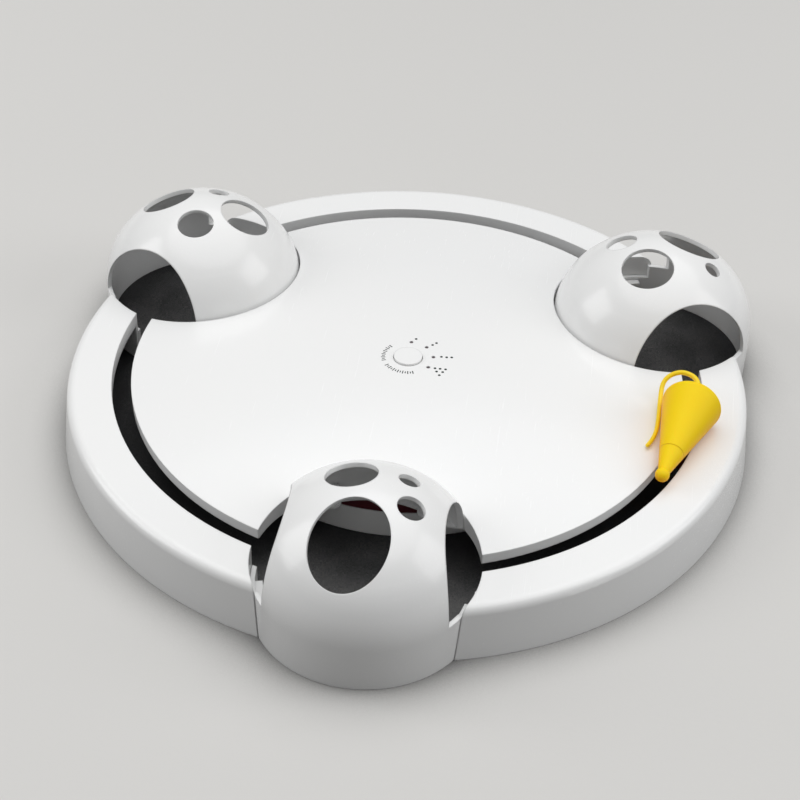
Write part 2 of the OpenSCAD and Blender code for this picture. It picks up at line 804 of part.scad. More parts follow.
module rotor_arm() {
    color("maroon") at_arm() difference() {
        union() {
            translate([0, 0, arm_z]) linear_extrude(arm_t) polygon([[arm_in_r + lap_gap, -arm_w / 2],
                [rotor_r, -arm_w / 2], [slot_r, -arm_boss_r], [slot_r, arm_boss_r], [rotor_r, arm_w / 2],
                [arm_in_r + lap_gap, arm_w / 2]]);
            translate([rotor_r + lap_gap, -arm_rib / 2, rotor_z])
                cube([slot_r - rotor_r - lap_gap, arm_rib, arm_z - rotor_z]);
            translate([slot_r, 0, rotor_z]) cylinder(r = arm_boss_r, h = arm_z + arm_t - rotor_z);
        }
        translate([slot_r, 0, rotor_z - over]) cylinder(r = post_r + pin_gap, h = rotor_t + 2 * over);
        for (side = [-1, 1]) at_arm_screw(side) translate([0, 0, arm_z - over])
            cylinder(r = screw_r + screw_fit, h = arm_t + 2 * over);
    }
}

module mouse_post() {
    color("maroon") at_mouse() {
        translate([0, 0, rotor_z]) cylinder(r = post_r, h = sole_z + post_top - rotor_z);
        translate([0, 0, arm_z + arm_t]) cylinder(r = post_collar_r, h = sole_z - arm_z - arm_t);
    }
}

// Mouse

// Radius of the mouse's coat at a distance from its back, inset by a wall
function coat_radius(s, inset) = mouse_r - taper * s - inset / cos(taper_a);

// The mouse's coat from its rounded back to a distance from it, inset by a wall
module coat(to, inset) {
    bend = mouse_round - inset;
    along_mouse() rotate_extrude() {
        polygon([[0, inset], [round_c, inset], [round_c, mouse_round],
            [round_c + bend * cos(taper_a), mouse_round + bend * sin(taper_a)],
            [coat_radius(to, inset), to], [0, to]]);
        translate([round_c, mouse_round]) circle(r = bend);
    }
}

// Everything below a height, round the mouse
module below(z) {
    at_mouse() translate([-2 * mouse_l, -mouse_l, 0]) cube([4 * mouse_l, 2 * mouse_l, z]);
}

module mouse_body() {
    color("gold") difference() {
        coat(snout_s, 0);
        coat(snout_s + over, mouse_wall);
        below(sole_z + sole_t);
        along_mouse() translate([0, 0, -over]) cylinder(r = tail_d / 2 + tail_fit, h = mouse_wall + 2 * over);
    }
}

module mouse_sole() {
    color("gold") difference() {
        union() {
            intersection() {
                coat(snout_s, 0);
                difference() {
                    below(sole_z + sole_t);
                    below(sole_z);
                }
            }
            intersection() {
                at_mouse() translate([0, 0, sole_z]) cylinder(r = mouse_boss_r, h = post_top);
                coat(snout_s, mouse_wall + pin_gap);
            }
        }
        at_mouse() translate([0, 0, sole_z - over]) cylinder(r = post_r + pin_gap, h = post_top + 2 * over);
    }
}

module mouse_snout() {
    color("gold") difference() {
        union() {
            along_mouse() translate([0, 0, snout_s])
                cylinder(r1 = coat_radius(snout_s, 0), r2 = neck_r, h = neck_s - snout_s);
            along_mouse() translate([0, 0, snout_s - spigot_l]) cylinder(r = spigot_r, h = spigot_l + over);
            along_mouse() translate([0, 0, mouse_l]) sphere(r = nose_r);
        }
        below(sole_z);
    }
}

module mouse_tail() {
    route = [for (p = tail_route) [p[0], -p[1], p[2] + sole_z]];
    color("gold") at_mouse() tube(route, tail_d / 2, tail_sides);
}

// Controls

module power_button() {
    flange_z = crown_height(flange_r, deck_wall) - run_gap - flange_t;
    stem_z = board_z + board_t + switch_h + plunger_h + button_travel + run_gap;
    color("white") {
        translate([0, 0, flange_z]) cylinder(r = button_r, h = top_z + button_rise - flange_z);
        translate([0, 0, flange_z]) cylinder(r = flange_r, h = flange_t);
        translate([0, 0, stem_z]) cylinder(r = stem_r, h = flange_z - stem_z + flange_t);
    }
}

module circuit_board() {
    color("seagreen") difference() {
        translate([-board_x, -board_y, board_z]) cube([2 * board_x, 2 * board_y, board_t]);
        for (p = board_posts) translate([p[0], p[1], board_z - over])
            cylinder(r = screw_r + screw_fit, h = board_t + 2 * over);
    }
}

module tact_switch() {
    color("black") translate([0, 0, board_z + board_t]) {
        translate([-switch_w / 2, -switch_w / 2, 0]) cube([switch_w, switch_w, switch_h]);
        cylinder(r = stem_r, h = switch_h + plunger_h);
    }
}

module led(k) {
    foot_z = board_z + board_t;
    neck_z = crown_height(led_ring_r, deck_wall) - run_gap;
    color("darkred") rotate(led_a[k]) translate([led_ring_r, 0, foot_z]) {
        cylinder(r = led_body_r, h = neck_z - foot_z);
        cylinder(r = led_r, h = crown_height(led_ring_r, 0) - run_gap - foot_z);
    }
}

module board_screw(k) {
    translate(board_posts[k]) screw(board_z, lug_h / 2 - tip_room);
}

// Draw the chosen node, or all of them
deck();
for (i = [0 : 2]) ring_segment(i);
dome(0);  // dome_front
dome(1);  // dome_right
dome(2);  // dome_left
hub_tub();
rotor_ring();
rotor_arm();
for (k = [0, 1]) arm_screw(2 * k - 1);
mouse_post();
mouse_sole();
mouse_body();
mouse_snout();
mouse_tail();
power_button();
circuit_board();
tact_switch();
for (k = [0 : 3]) led(k);
motor();
motor_bracket();
for (k = [0, 1]) bracket_screw(2 * k - 1);
motor_pinion();
idler_gear();
idler_axle();
for (k = [0 : 2]) battery(k);
contact(-1);  // contact_left
contact(1);  // contact_right
battery_door();
for (k = [1 : 4]) foot(k);
for (k = [0 : 3]) hub_screw(k);
for (k = [0 : 5]) dome_screw(k);
for (k = [0 : 3]) board_screw(k);
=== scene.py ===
import json
from math import acos, cos, pi, radians, sin, sqrt

import bmesh
import bpy
from mathutils import Euler, Matrix, Vector


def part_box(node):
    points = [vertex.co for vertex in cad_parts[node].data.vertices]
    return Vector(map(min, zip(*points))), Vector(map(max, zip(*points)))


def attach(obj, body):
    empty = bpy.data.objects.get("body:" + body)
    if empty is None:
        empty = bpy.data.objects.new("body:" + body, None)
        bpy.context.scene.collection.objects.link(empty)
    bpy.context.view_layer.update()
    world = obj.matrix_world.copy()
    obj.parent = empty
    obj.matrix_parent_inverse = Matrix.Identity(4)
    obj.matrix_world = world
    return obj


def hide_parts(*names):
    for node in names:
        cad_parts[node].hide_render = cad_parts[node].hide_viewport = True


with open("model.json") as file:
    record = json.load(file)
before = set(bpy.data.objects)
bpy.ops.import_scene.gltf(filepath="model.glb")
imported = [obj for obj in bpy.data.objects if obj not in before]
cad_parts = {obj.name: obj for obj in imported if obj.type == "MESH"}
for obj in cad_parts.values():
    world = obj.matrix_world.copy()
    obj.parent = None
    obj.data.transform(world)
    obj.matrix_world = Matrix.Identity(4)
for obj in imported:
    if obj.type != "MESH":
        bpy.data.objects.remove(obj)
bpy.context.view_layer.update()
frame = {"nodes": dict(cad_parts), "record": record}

NODES = frame["nodes"]
MM = 0.001

# Sizes taken from the frame, in metres
SOLE_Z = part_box("mouse_sole")[0].z

# Sizes shared with the solids, in metres
SLOT_R = 157.3 * MM
ARM_AZIMUTH = radians(-14)
MOUSE_BACK = 22 * MM
MOUSE_IN = 1.6 * MM
MOUSE_SIT = 8.8 * MM
MOUSE_L = 60.6 * MM
NOSE_HEIGHT = 5.4 * MM
SNOUT_S = 43.5 * MM


def mouse_point(ahead, inward, above):
    """A point by the mouse: ahead of its post, inward of the slot and above its sole."""
    spot = Vector((SLOT_R - inward, -ahead, SOLE_Z + above))
    spot.rotate(Euler((0, 0, ARM_AZIMUTH)))
    return spot


# Camera

LENS = 82.88
SENSOR_W = 36
NEAREST = 0.05
FARTHEST = 50
CAMERA_AZIMUTH = radians(6.85)
CAMERA_ELEVATION = radians(38.936)
CAMERA_DISTANCE = 1.040
CAMERA_ROLL = radians(1.664)
CAMERA_SLIDE = (-3.54 * MM, 7.45 * MM)


def place_camera():
    """A camera at the photograph's angle, aimed near the turntable's axis."""
    across = Vector((cos(CAMERA_AZIMUTH), sin(CAMERA_AZIMUTH), 0))
    level = Vector((-sin(CAMERA_AZIMUTH), cos(CAMERA_AZIMUTH), 0))
    forward = level * cos(CAMERA_ELEVATION) - Vector((0, 0, sin(CAMERA_ELEVATION)))
    upward = across.cross(forward)
    right = across * cos(CAMERA_ROLL) + upward * sin(CAMERA_ROLL)
    top = upward * cos(CAMERA_ROLL) - across * sin(CAMERA_ROLL)
    spot = right * CAMERA_SLIDE[0] + top * CAMERA_SLIDE[1] - forward * CAMERA_DISTANCE
    data = bpy.data.cameras.new("camera")
    data.lens = LENS
    data.sensor_width = SENSOR_W
    data.clip_start = NEAREST
    data.clip_end = FARTHEST
    camera = bpy.data.objects.new("camera", data)
    camera.matrix_world = Matrix((right, top, -forward)).transposed().to_4x4()
    camera.matrix_world.translation = spot
    bpy.context.scene.collection.objects.link(camera)
    bpy.context.scene.camera = camera


# Node arithmetic

class Field:
    """A socket in a node tree that takes part in arithmetic."""

    def __init__(self, graph, socket):
        self.graph = graph
        self.socket = socket

    def sum(self, operation, first, second=0.0):
        """One step of arithmetic on numbers or fields."""
        return self.graph.node("ShaderNodeMath", {"operation": operation}, {0: first, 1: second})

    def __add__(self, other):
        return self.sum("ADD", self, other)

    def __radd__(self, other):
        return self.sum("ADD", other, self)

    def __sub__(self, other):
        return self.sum("SUBTRACT", self, other)

    def __rsub__(self, other):
        return self.sum("SUBTRACT", other, self)

    def __mul__(self, other):
        return self.sum("MULTIPLY", self, other)

    def __rmul__(self, other):
        return self.sum("MULTIPLY", other, self)

    def __abs__(self):
        return self.sum("ABSOLUTE", self)

    def part(self, index):
        """One coordinate of a vector, 0 to 2."""
        return self.graph.node("ShaderNodeSeparateXYZ", {}, {0: self}, index)

    def ramp(self, low, high):
        """Goes from 0 at low to 1 at high, smoothly."""
        settings = {"interpolation_type": "SMOOTHSTEP"}
        return self.graph.node("ShaderNodeMapRange", settings, {0: self, 1: low, 2: high})


class Graph:
    """A node tree under construction."""

    def __init__(self, tree):
        self.tree = tree

    def node(self, kind, settings, inputs, output=0):
        """Adds a node: its settings first, then the values or links of its sockets."""
        made = self.tree.nodes.new(kind)
        for key, value in settings.items():
            setattr(made, key, value)
        for key, value in inputs.items():
            self.feed(made.inputs[key], value)
        return Field(self, made.outputs[output])

    def feed(self, socket, value):
        """Links a field, several fields in turn, or sets a plain value."""
        if isinstance(value, Field):
            self.tree.links.new(value.socket, socket)
        elif isinstance(value, list):
            for each in value:
                self.feed(socket, each)
        else:
            socket.default_value = value

    def vector(self, x, y, z):
        """A vector from three numbers or fields."""
        return self.node("ShaderNodeCombineXYZ", {}, {0: x, 1: y, 2: z})


class Finish(Graph):
    """A material under construction."""

    def __init__(self, name, **constants):
        self.material = bpy.data.materials.new(name)
        self.material.use_nodes = True
        super().__init__(self.material.node_tree)
        self.shader = self.tree.nodes["Principled BSDF"]
        self.set(**constants)

    def set(self, **values):
        """Feeds the shader's sockets, each named with underscores for spaces."""
        for key, value in values.items():
            self.feed(self.shader.inputs[key.replace("_", " ")], value)

    def place(self):
        """A point's place on the object, in metres."""
        return self.node("ShaderNodeTexCoord", {}, {}, "Object")

    def along(self, start, direction):
        """Distance from a start point along a direction, in metres."""
        settings = {"operation": "DOT_PRODUCT"}
        reach = self.node("ShaderNodeVectorMath", settings, {0: self.place(), 1: direction}, "Value")
        return reach - start.dot(direction)

    def stretch(self, vector, scale, turn):
        """A vector turned and then scaled, for patterns that run one way."""
        return self.node("ShaderNodeMapping", {}, {"Vector": vector, "Scale": scale, "Rotation": turn})

    def noise(self, scale, detail=2.0, roughness=0.5, vector=None):
        """Soft noise from 0 to 1, with so many lumps a metre."""
        inputs = {"Vector": vector or self.place(), "Scale": scale}
        inputs.update({"Detail": detail, "Roughness": roughness})
        return self.node("ShaderNodeTexNoise", {}, inputs)

    def blend(self, amount, first, second):
        """A colour between two colours."""
        inputs = {"Factor": amount, 6: first, 7: second}
        return self.node("ShaderNodeMix", {"data_type": "RGBA"}, inputs, 2)

    def bump(self, height, depth, edge=0.0):
        """Surface relief, over edges that are eased by a radius."""
        inputs = {"Height": height, "Strength": 1.0, "Distance": depth}
        if edge:
            inputs["Normal"] = self.node("ShaderNodeBevel", {"samples": 6}, {"Radius": edge})
        return self.node("ShaderNodeBump", {}, inputs)

    def crevice(self, reach, samples=6, alone=True):
        """1 in the open and less in corners, of the piece alone or among all pieces."""
        settings = {"samples": samples, "only_local": alone}
        return self.node("ShaderNodeAmbientOcclusion", settings, {"Distance": reach}, "AO")


def stand(name, data):
    """An object at the origin for a mesh, a curve or a lamp."""
    made = bpy.data.objects.new(name, data)
    bpy.context.scene.collection.objects.link(made)
    return made


class Layout(Graph):
    """A geometry tree that sets out or sweeps a shape, with a named input for each size."""

    def __init__(self, name):
        super().__init__(bpy.data.node_groups.new(name, "GeometryNodeTree"))
        self.entry = self.tree.nodes.new("NodeGroupInput")
        self.spots = self.size("Spots", "NodeSocketGeometry")

    def size(self, name, kind="NodeSocketFloat"):
        """A named input of the tree."""
        self.tree.interface.new_socket(name, in_out="INPUT", socket_type=kind)
        return Field(self, self.entry.outputs[name])

    def shape(self, name):
        """The mesh of the object in a named input."""
        inputs = {"Object": self.size(name, "NodeSocketObject")}
        return self.node("GeometryNodeObjectInfo", {}, inputs, "Geometry")

    def own(self, name, kind="FLOAT"):
        """A value that each spot carries."""
        return self.node("GeometryNodeInputNamedAttribute", {"data_type": kind}, {"Name": name})

    def scatter(self, shape, scale=(1.0, 1.0, 1.0)):
        """The shape on every spot, turned as the spot says."""
        turn = self.node("FunctionNodeEulerToRotation", {}, {"Euler": self.own("turn", "FLOAT_VECTOR")})
        inputs = {"Points": self.spots, "Instance": shape, "Rotation": turn, "Scale": scale}
        return self.node("GeometryNodeInstanceOnPoints", {}, inputs)

    def close(self, shapes, finish):
        """Ends the tree in plain geometry with one finish."""
        whole = self.node("GeometryNodeRealizeInstances", {}, {"Geometry": shapes})
        dressed = self.node("GeometryNodeSetMaterial", {}, {"Geometry": whole, "Material": finish})
        self.tree.interface.new_socket("Geometry", in_out="OUTPUT", socket_type="NodeSocketGeometry")
        self.feed(self.tree.nodes.new("NodeGroupOutput").inputs[0], dressed)

    def run(self, name, spots, sizes):
        """The tree's result on some spots or a path, as a plain mesh object."""
        draft = stand(name + "_draft", spots)
        modifier = draft.modifiers.new("layout", "NODES")
        modifier.node_group = self.tree
        for item in self.tree.interface.items_tree:
            if item.name in sizes:
                modifier[item.identifier] = sizes[item.name]
        ready = draft.evaluated_get(bpy.context.evaluated_depsgraph_get())
        mesh = bpy.data.meshes.new_from_object(ready)
        bpy.data.objects.remove(draft)
        # A generated mesh can start with an empty material slot
        for k in reversed(range(len(mesh.materials))):
            if not mesh.materials[k]:
                mesh.materials.pop(index=k)
        return stand(name, mesh)


def colour(red, green, blue):
    """A colour from the 0 to 255 values that a screen shows."""
    shown = [value / 255 for value in (red, green, blue)]
    linear = [v / 12.92 if v <= 0.04045 else ((v + 0.055) / 1.055) ** 2.4 for v in shown]
    return (*linear, 1.0)


# Finishes

HAIR_LENGTH = 60
BAND_START = 13.5 * MM
BAND_END = 21.5 * MM
BAND_EDGE = 0.3 * MM


def scratches(finish, turn, density):
    """Hairline marks along one direction, 0 to 1."""
    drawn = finish.stretch(finish.place(), (density, density / HAIR_LENGTH, density), (0, 0, turn))
    return finish.noise(1.0, 3.0, 0.6, drawn).ramp(0.66, 0.74)


def white_shell():
    """Glossy moulded plastic with a faint orange peel and hairlines, and painted shade that darkens its
    corners.
    """
    finish = Finish("white_shell", IOR=1.5, Coat_Roughness=0.12)
    cloud = finish.noise(7, 3)
    speck = finish.noise(2600, 1)
    peel = finish.noise(520, 2)
    hairs = scratches(finish, 0.4, 900) + scratches(finish, 1.9, 800)
    clean = finish.blend(cloud, colour(247, 247, 246), colour(243, 244, 245))
    worn = finish.blend(hairs * 0.08, clean, colour(226, 227, 229))
    # Painted shade: the colour darkens to grey where corners are occluded.
    corner_shade = finish.crevice(5 * MM).ramp(0.15, 0.75)
    finish.set(
        Base_Color=finish.blend(corner_shade, colour(205, 206, 208), worn),
        Roughness=0.2 + cloud * 0.08 + hairs * 0.04 + speck * 0.03,
        Coat_Weight=0.2 + cloud * 0.2 - hairs * 0.05,
        Normal=finish.bump(peel + speck * 0.15, 0.03 * MM, 0.9 * MM),
    )
    return finish.material


def rotor_plastic():
    """Dark red satin plastic with a fine grain and faint polished streaks."""
    finish = Finish("rotor_plastic", IOR=1.48)
    cloud = finish.noise(14, 3)
    grain = finish.noise(1500, 2)
    streak = scratches(finish, 0.8, 700)
    finish.set(
        Base_Color=finish.blend(cloud, colour(92, 24, 32), colour(72, 18, 27)),
        Roughness=0.42 + grain * 0.12 - streak * 0.1,
        Normal=finish.bump(grain, 0.05 * MM, 0.5 * MM),
    )
    return finish.material


def mouse_plastic():
    """Soft bright yellow plastic with a crease at the snout; warmer in folds and near the deck, and darker
    along the crease, as painted shade.
    """
    finish = Finish("mouse_plastic", Specular_IOR_Level=0.2, Subsurface_Weight=0.15)
    finish.set(Subsurface_Scale=1.2 * MM, Subsurface_Radius=(1.0, 0.4, 0.04))
    back = mouse_point(-MOUSE_BACK, MOUSE_IN, MOUSE_SIT)
    nose_ahead = sqrt(MOUSE_L ** 2 - (MOUSE_SIT - NOSE_HEIGHT) ** 2) - MOUSE_BACK
    nose = mouse_point(nose_ahead, MOUSE_IN, NOSE_HEIGHT)
    past_seam = finish.along(back, (nose - back).normalized()) - SNOUT_S
    crease = 1 - abs(past_seam).ramp(0.05 * MM, 0.4 * MM)
    cloud = finish.noise(60, 3)
    grain = finish.noise(2200, 2)
    # Painted shade: orange in folds within a few millimetres.
    corner_shade = finish.crevice(4 * MM).ramp(0.1, 0.8)
    open_tone = finish.blend(cloud, colour(255, 220, 16), colour(255, 215, 12))
    # Painted shade: orange on the side that the deck and nearby parts shut in.
    lit = finish.crevice(80 * MM, alone=False).ramp(0.55, 0.98)
    painted_side_shade = finish.blend(lit, colour(255, 178, 4), open_tone)
    tone = finish.blend(corner_shade, colour(255, 168, 4), painted_side_shade)
    finish.set(
        # Painted shade: a darker line along the crease, whose groove is a real bump.
        Base_Color=finish.blend(crease * 0.4, tone, colour(224, 142, 8)),
        Roughness=0.44 + cloud * 0.1 + grain * 0.06,
        Normal=finish.bump(grain + cloud * 2 - crease * 4, 0.035 * MM, 0.5 * MM),
    )
    return finish.material


def tail_rubber():
    """Lemon rubber with a fine grain."""
    finish = Finish("tail_rubber", IOR=1.5, Subsurface_Weight=0.2, Subsurface_Scale=1.5 * MM)
    finish.set(Subsurface_Radius=(1.0, 0.5, 0.1))
    cloud = finish.noise(120, 3)
    grain = finish.noise(3000, 2)
    finish.set(
        Base_Color=finish.blend(cloud, colour(255, 224, 20), colour(255, 218, 16)),
        Roughness=0.4 + cloud * 0.12,
        Normal=finish.bump(grain, 0.03 * MM),
    )
    return finish.material


def plated_steel(name, light, dark, base_roughness):
    """Plated steel with cloudy brightness and fine pitting."""
    finish = Finish(name, Metallic=1.0)
    cloud = finish.noise(180, 4)
    grain = finish.noise(4000, 2)
    finish.set(
        Base_Color=finish.blend(cloud, light, dark),
        Roughness=base_roughness + cloud * 0.14 + grain * 0.05,
        Normal=finish.bump(grain, 0.02 * MM, 0.2 * MM),
    )
    return finish.material


def pad_rubber():
    """Matte black rubber with a fine grain and some dust."""
    finish = Finish("pad_rubber", IOR=1.5)
    cloud = finish.noise(90, 4)
    grain = finish.noise(1800, 3)
    finish.set(
        Base_Color=finish.blend(cloud, colour(38, 38, 40), colour(60, 59, 58)),
        Roughness=0.75 + grain * 0.2,
        Normal=finish.bump(grain, 0.08 * MM, 0.3 * MM),
    )
    return finish.material


def gear_plastic():
    """Milky natural nylon."""
    finish = Finish("gear_plastic", IOR=1.53, Subsurface_Weight=0.3, Subsurface_Scale=2 * MM)
    cloud = finish.noise(70, 3)
    grain = finish.noise(1600, 2)
    finish.set(
        Base_Color=finish.blend(cloud, colour(236, 232, 216), colour(224, 218, 198)),
        Roughness=0.38 + grain * 0.12,
        Normal=finish.bump(grain, 0.03 * MM, 0.2 * MM),
    )
    return finish.material


def board_green():
    """Green solder mask over a grid of copper runs."""
    finish = Finish("board_green", IOR=1.5, Coat_Roughness=0.2)
    settings = {"offset": 0.37, "squash": 1.6, "squash_frequency": 3}
    inputs = {"Vector": finish.place(), "Scale": 120.0, "Mortar Size": 0.035, "Brick Width": 0.9}
    inputs.update({"Color1": (0, 0, 0, 1), "Color2": (0, 0, 0, 1), "Mortar": (1, 1, 1, 1)})
    runs = finish.node("ShaderNodeTexBrick", settings, inputs, "Fac")
    weave = finish.noise(2500, 1)
    finish.set(
        Base_Color=finish.blend(runs, colour(20, 92, 52), colour(48, 128, 74)),
        Roughness=0.28 + weave * 0.12,
        Coat_Weight=0.3 + runs * 0.3,
        Normal=finish.bump(runs * 2 + weave * 0.3, 0.03 * MM),
    )
    return finish.material


def switch_black():
    """Black moulded plastic."""
    finish = Finish("switch_black", IOR=1.5)
    grain = finish.noise(1800, 3)
    finish.set(
        Base_Color=finish.blend(grain, colour(24, 24, 25), colour(40, 40, 42)),
        Roughness=0.5 + grain * 0.15,
        Normal=finish.bump(grain, 0.04 * MM),
    )
    return finish.material


def lamp_resin():
    """Dark purple lamp resin with a clear gloss."""
    finish = Finish("lamp_resin", IOR=1.52, Coat_Weight=0.8, Coat_Roughness=0.05)
    swirl = finish.noise(900, 2)
    finish.set(
        Base_Color=finish.blend(swirl, colour(70, 24, 44), colour(48, 14, 32)),
        Roughness=0.18 + swirl * 0.08,
        Normal=finish.bump(swirl, 0.02 * MM),
    )
    return finish.material


def print_ink():
    """Dark printed ink, a little uneven."""
    finish = Finish("print_ink", IOR=1.45)
    blot = finish.noise(1800, 3)
    finish.set(
        Base_Color=finish.blend(blot, colour(22, 34, 32), colour(40, 52, 49)),
        Roughness=0.45 + blot * 0.15,
        Normal=finish.bump(blot, 0.01 * MM),
    )
    return finish.material


def cell_wrap():
    """Plain printed wrap with a green band near one end of each cell."""
    finish = Finish("cell_wrap", IOR=1.5, Coat_Roughness=0.15)
    along = finish.place().part(0)
    band = along.ramp(BAND_START, BAND_START + BAND_EDGE) * (1 - along.ramp(BAND_END, BAND_END + BAND_EDGE))
    cloud = finish.noise(120, 3)
    body = finish.blend(cloud, colour(196, 200, 204), colour(178, 183, 188))
    finish.set(
        Base_Color=finish.blend(band, body, colour(46, 128, 92)),
        Roughness=0.3 + cloud * 0.1,
        Metallic=0.35 - band * 0.35,
        Coat_Weight=0.4 + band * 0.3,
        Normal=finish.bump(cloud, 0.02 * MM, 0.3 * MM),
    )
    return finish.material


def floor_paper():
    """Pale seamless paper with a painted shadow under the toy, that throws little light back up."""
    finish = Finish("floor_paper", Specular_IOR_Level=0.15)
    cloud = finish.noise(1.5, 3)
    grain = finish.noise(400, 2)
    paths = ("Is Camera Ray", "Is Glossy Ray", "Is Transmission Ray")
    rays = [finish.node("ShaderNodeLightPath", {}, {}, path) for path in paths]
    pale = finish.blend(cloud, colour(214, 213, 211), colour(209, 208, 206))
    # Painted shadow: the floor darkens to grey where the toy covers it and close beside it.
    outside_painted_shadow = finish.crevice(90 * MM, 8, alone=False).ramp(0.25, 0.85)
    seen = finish.blend(outside_painted_shadow, colour(52, 52, 54), pale)
    finish.set(
        Base_Color=finish.blend(rays[0] + rays[1] + rays[2], colour(96, 95, 94), seen),
        Roughness=0.85 + grain * 0.1,
        Normal=finish.bump(grain, 0.05 * MM),
    )
    return finish.material


place_camera()
WHITE = white_shell()
ROTOR = rotor_plastic()
YELLOW = mouse_plastic()
LEMON = tail_rubber()
SCREW_STEEL = plated_steel("screw_steel", colour(196, 197, 199), colour(168, 170, 174), 0.24)
CAN_STEEL = plated_steel("can_steel", colour(204, 204, 202), colour(184, 184, 182), 0.3)
SHEET_STEEL = plated_steel("sheet_steel", colour(188, 190, 192), colour(166, 168, 170), 0.34)
PAD = pad_rubber()
NYLON = gear_plastic()
BOARD = board_green()
BLACK = switch_black()
LAMP = lamp_resin()
INK = print_ink()
WRAP = cell_wrap()

FINISH_OF_SLOT = {
    "white_shell": WHITE,
    "rotor_plastic": ROTOR,
    "mouse_plastic": YELLOW,
    "tail_rubber": LEMON,
    "pad_rubber": PAD,
    "screw_steel": SCREW_STEEL,
    "motor_steel": CAN_STEEL,
    "bracket_steel": SHEET_STEEL,
    "gear_plastic": NYLON,
    "board": BOARD,
    "switch_black": BLACK,
    "lamp_red": LAMP,
    "cell_wrap": WRAP,
}


def dress_nodes():
    """Gives every CAD node the finish of its slot."""
    for entry in frame["record"]["subparts"]:
        slots = NODES[entry["node"]].data.materials
        slots.clear()
        slots.append(FINISH_OF_SLOT[entry["material_slot"]])


dress_nodes()


# Made pieces

# Speed marks on the deck: millimetres from the button's middle and degrees round it
SPEED_DOTS = [
    (17.4, 82.6),
    (17.9, 48), (20.8, 48),
    (18.4, 10.6), (21.3, 9.5), (24.1, 9.5),
    (17.5, -24.8), (20.1, -21.4), (19.8, -30.5), (22.9, -18.5), (22.7, -26), (22.9, -34.4),
]
DOT_D = 1.5 * MM
DOT_SIDES = 24
INK_T = 0.08 * MM
# Scale of strokes: millimetres from the button's middle, then degrees round it
TICK_R = 13.7
TICK_PITCH = 5.8
TICK_ARCS = [(142, 203), (219, 289)]
TICK_W = 0.55 * MM
TICK_LENGTHS = [2.4 * MM, 1.5 * MM]
SCREW_HEAD_R = 2.8 * MM
SCREW_HEAD_H = 1.4 * MM
SCREW_HEAD_FLAT = 0.7
SCREW_HEAD_CROWN = 0.6
SCREW_HEAD_SIDES = 32
RIM_STEPS = 6
SCREW_SHANK_R = 1.5 * MM
SCREW_SHANK_SIDES = 16
SCREW_SHANK_SHORT = 0.2 * MM
SCREW_TURN = 0.7
RECESS_L = 3.4 * MM
RECESS_W = 0.85 * MM
RECESS_DEPTH = 0.75 * MM
PAD_GROOVE = 0.3 * MM
PAD_BEVEL = 0.2 * MM
# Outline of a pad's underside: share of its radius, and whether it lies in a groove
PAD_RIBS = [
    (0.97, 0), (0.84, 0), (0.8, 1), (0.7, 1), (0.66, 0), (0.54, 0),
    (0.5, 1), (0.4, 1), (0.36, 0), (0.24, 0), (0.2, 1), (0, 1),
]
LAMP_FLANGE_Z = 37.1 * MM
LAMP_R = 1.0 * MM
LAMP_RISE = 0.7 * MM
LENS_STEPS = 6
TURNED_SIDES = 40
SHARP_EDGE = radians(35)
TAIL_D = 2.9 * MM
TAIL_TIP = 0.76
TAIL_SIDES = 20
TAIL_STEPS = 10
TIP_STEPS = 7
TIP_DIVISION = 12.4
# Millimetres ahead of the mouse's post, inward of the slot and above the sole
TAIL_ROUTE = [
    (-21.1, 1.6, 8.8), (-25, 1.6, 9.1), (-28.6, 1.9, 10.6), (-33, 2.4, 12.2),
    (-36.6, 5, 13), (-38.2, 9, 13.4), (-38.2, 13.4, 13.2), (-36.6, 17.4, 11.8),
    (-34.2, 20, 9.8), (-31, 21, 7.4), (-26.6, 20.4, 4.8), (-20, 19, 2.8),
    (-13, 17.4, 1.7), (-6, 16, 1.3), (1, 15, 1.2), (8, 15, 1.2), (15, 16.2, 1.2),
]


def fit(piece, body, slot, *nodes):
    """Joins a piece to a body and lets it stand for solids."""
    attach(piece, body)
    if nodes:
        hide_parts(*nodes)


def on_deck(radius, angle):
    """A point on the crowned deck, from millimetres and degrees round the button."""
    above = Vector((cos(radians(angle)), sin(radians(angle)), 0)) * radius * MM + Vector((0, 0, 1))
    return NODES["deck"].ray_cast(above, Vector((0, 0, -1)))[1]


def mark_spots(name, spots):
    """Loose points, each with its turn and length."""
    mesh = bpy.data.meshes.new(name)
    mesh.from_pydata([place for place, turn, length in spots], [], [])
    turns = mesh.attributes.new("turn", "FLOAT_VECTOR", "POINT")
    turns.data.foreach_set("vector", [angle for place, turn, length in spots for angle in turn])
    lengths = mesh.attributes.new("length", "FLOAT", "POINT")
    lengths.data.foreach_set("value", [length for place, turn, length in spots])
    return mesh


def turn_shape(name, profile, sides):
    """A closed turned mesh from (radius, height) pairs that run from axis to axis."""
    form = bmesh.new()
    rings = []
    for radius, height in profile:
        angles = [2 * pi * k / sides for k in range(sides if radius else 1)]
        rings.append([form.verts.new((radius * cos(a), radius * sin(a), height)) for a in angles])
    for below, above in zip(rings, rings[1:]):
        for k in range(sides):
            around = ((below, k), (below, k + 1), (above, k + 1), (above, k))
            corners = [ring[j % len(ring)] for ring, j in around]
            form.faces.new(dict.fromkeys(corners))
    bmesh.ops.recalc_face_normals(form, faces=form.faces)
    mesh = bpy.data.meshes.new(name)
    form.to_mesh(mesh)
    form.free()
    mesh.shade_smooth()
    mesh.set_sharp_from_angle(angle=SHARP_EDGE)
    return mesh


